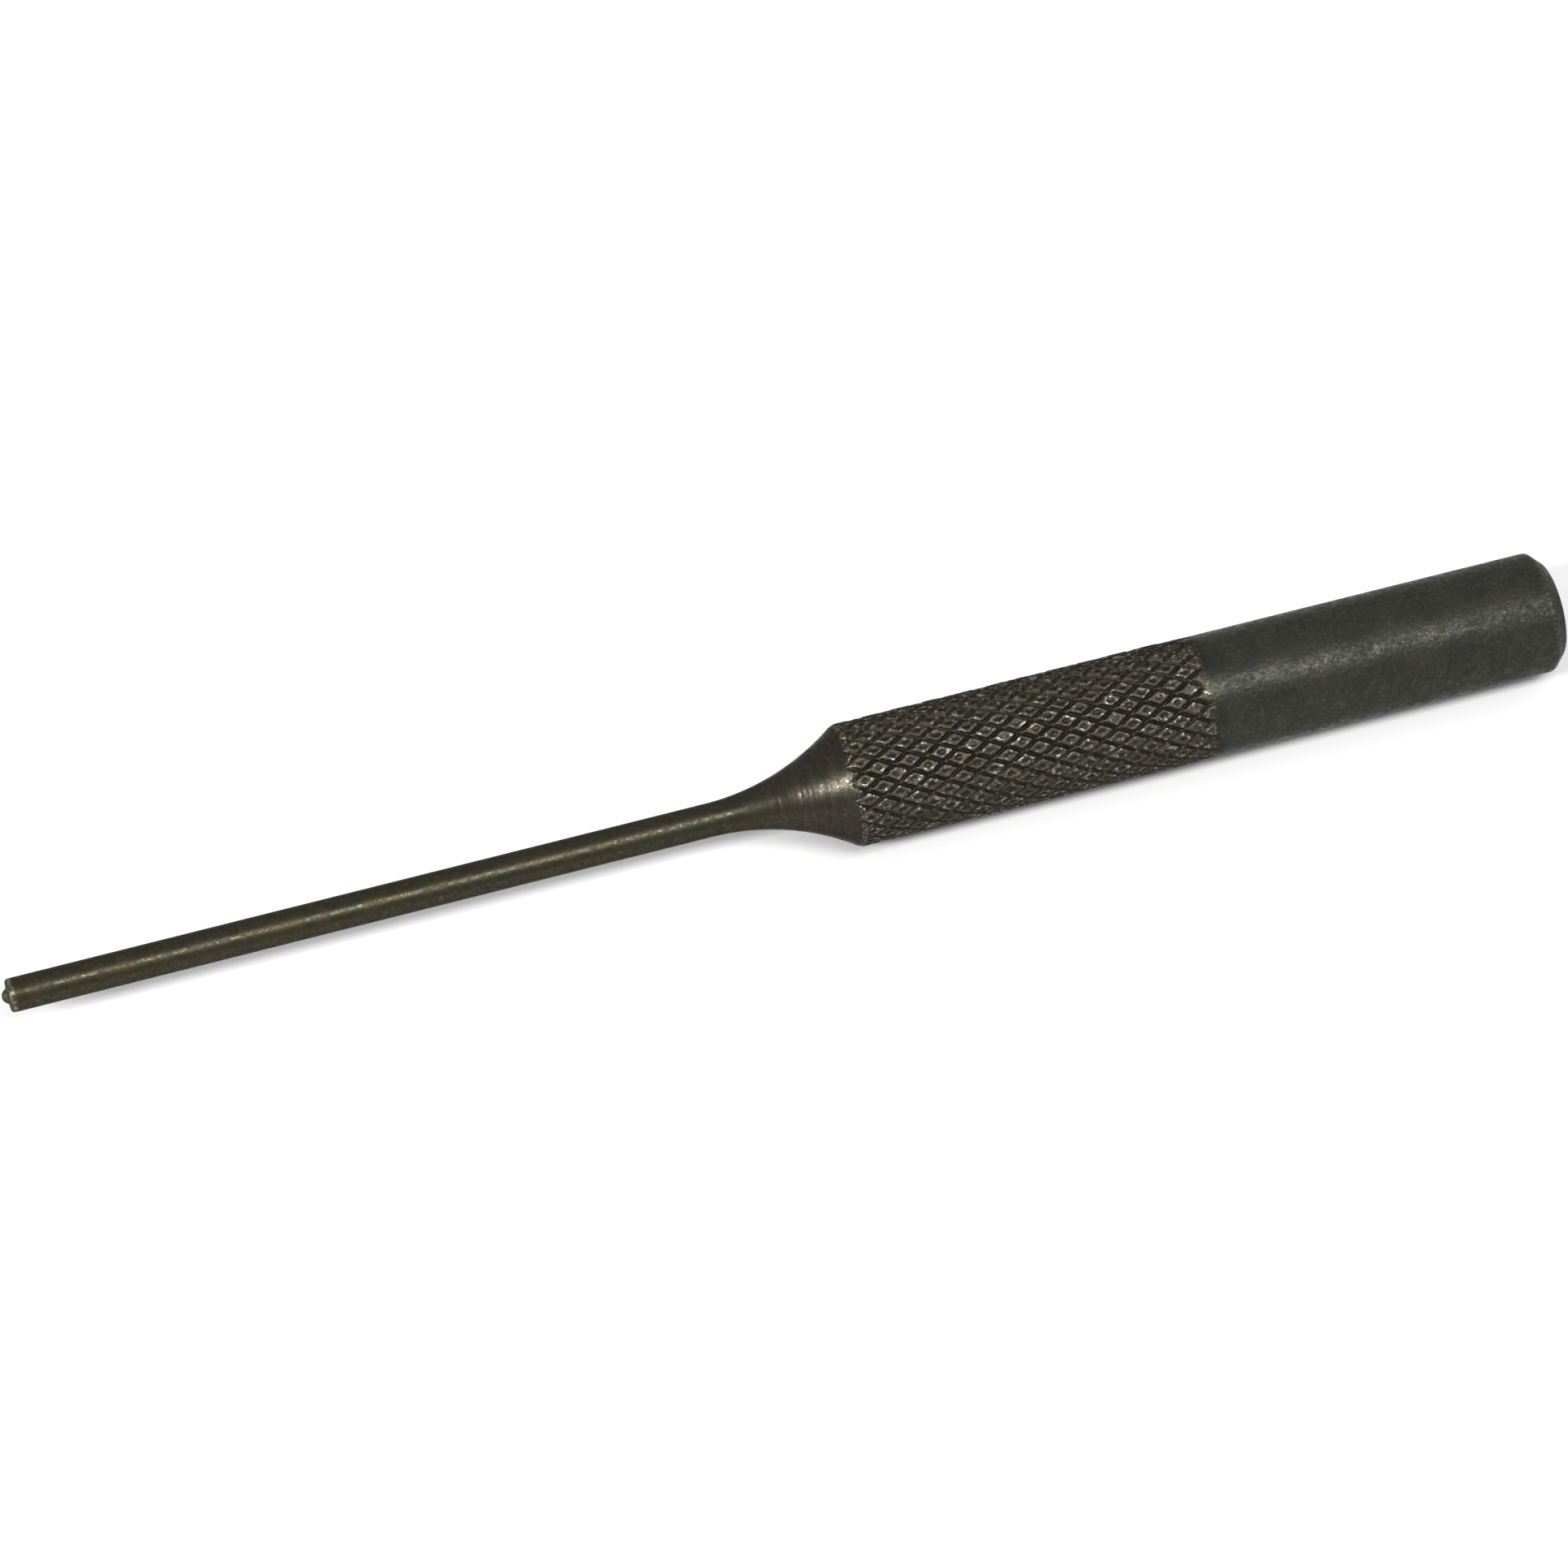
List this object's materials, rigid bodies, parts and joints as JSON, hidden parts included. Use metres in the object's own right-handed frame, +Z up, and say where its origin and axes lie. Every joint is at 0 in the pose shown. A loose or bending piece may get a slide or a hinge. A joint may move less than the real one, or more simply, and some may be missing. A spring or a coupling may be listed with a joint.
{
  "type": "pilot punch",
  "caption": "Slim roll-pin punch turned from one steel bar: a ball nub on a long thin pin, a hollow-ground neck, a diamond-knurled grip and a plain chamfered striking end.",
  "frame": {"origin": "on the punch's axis, at the middle of its knurled grip", "axes": "+X along the punch from the tip to the striking face, +Z up as it lies on its side"},
  "size_m": [0.124, 0.0096, 0.0096],
  "materials": {
    "black_steel": "blackened tool steel: satin grey-black on the plain bar, browner on the turned neck and pin, worn bright on the knurl's crests and the tip's edge"
  },
  "bodies": {
    "root": {"punch": "black_steel"}
  },
  "joints": []
}
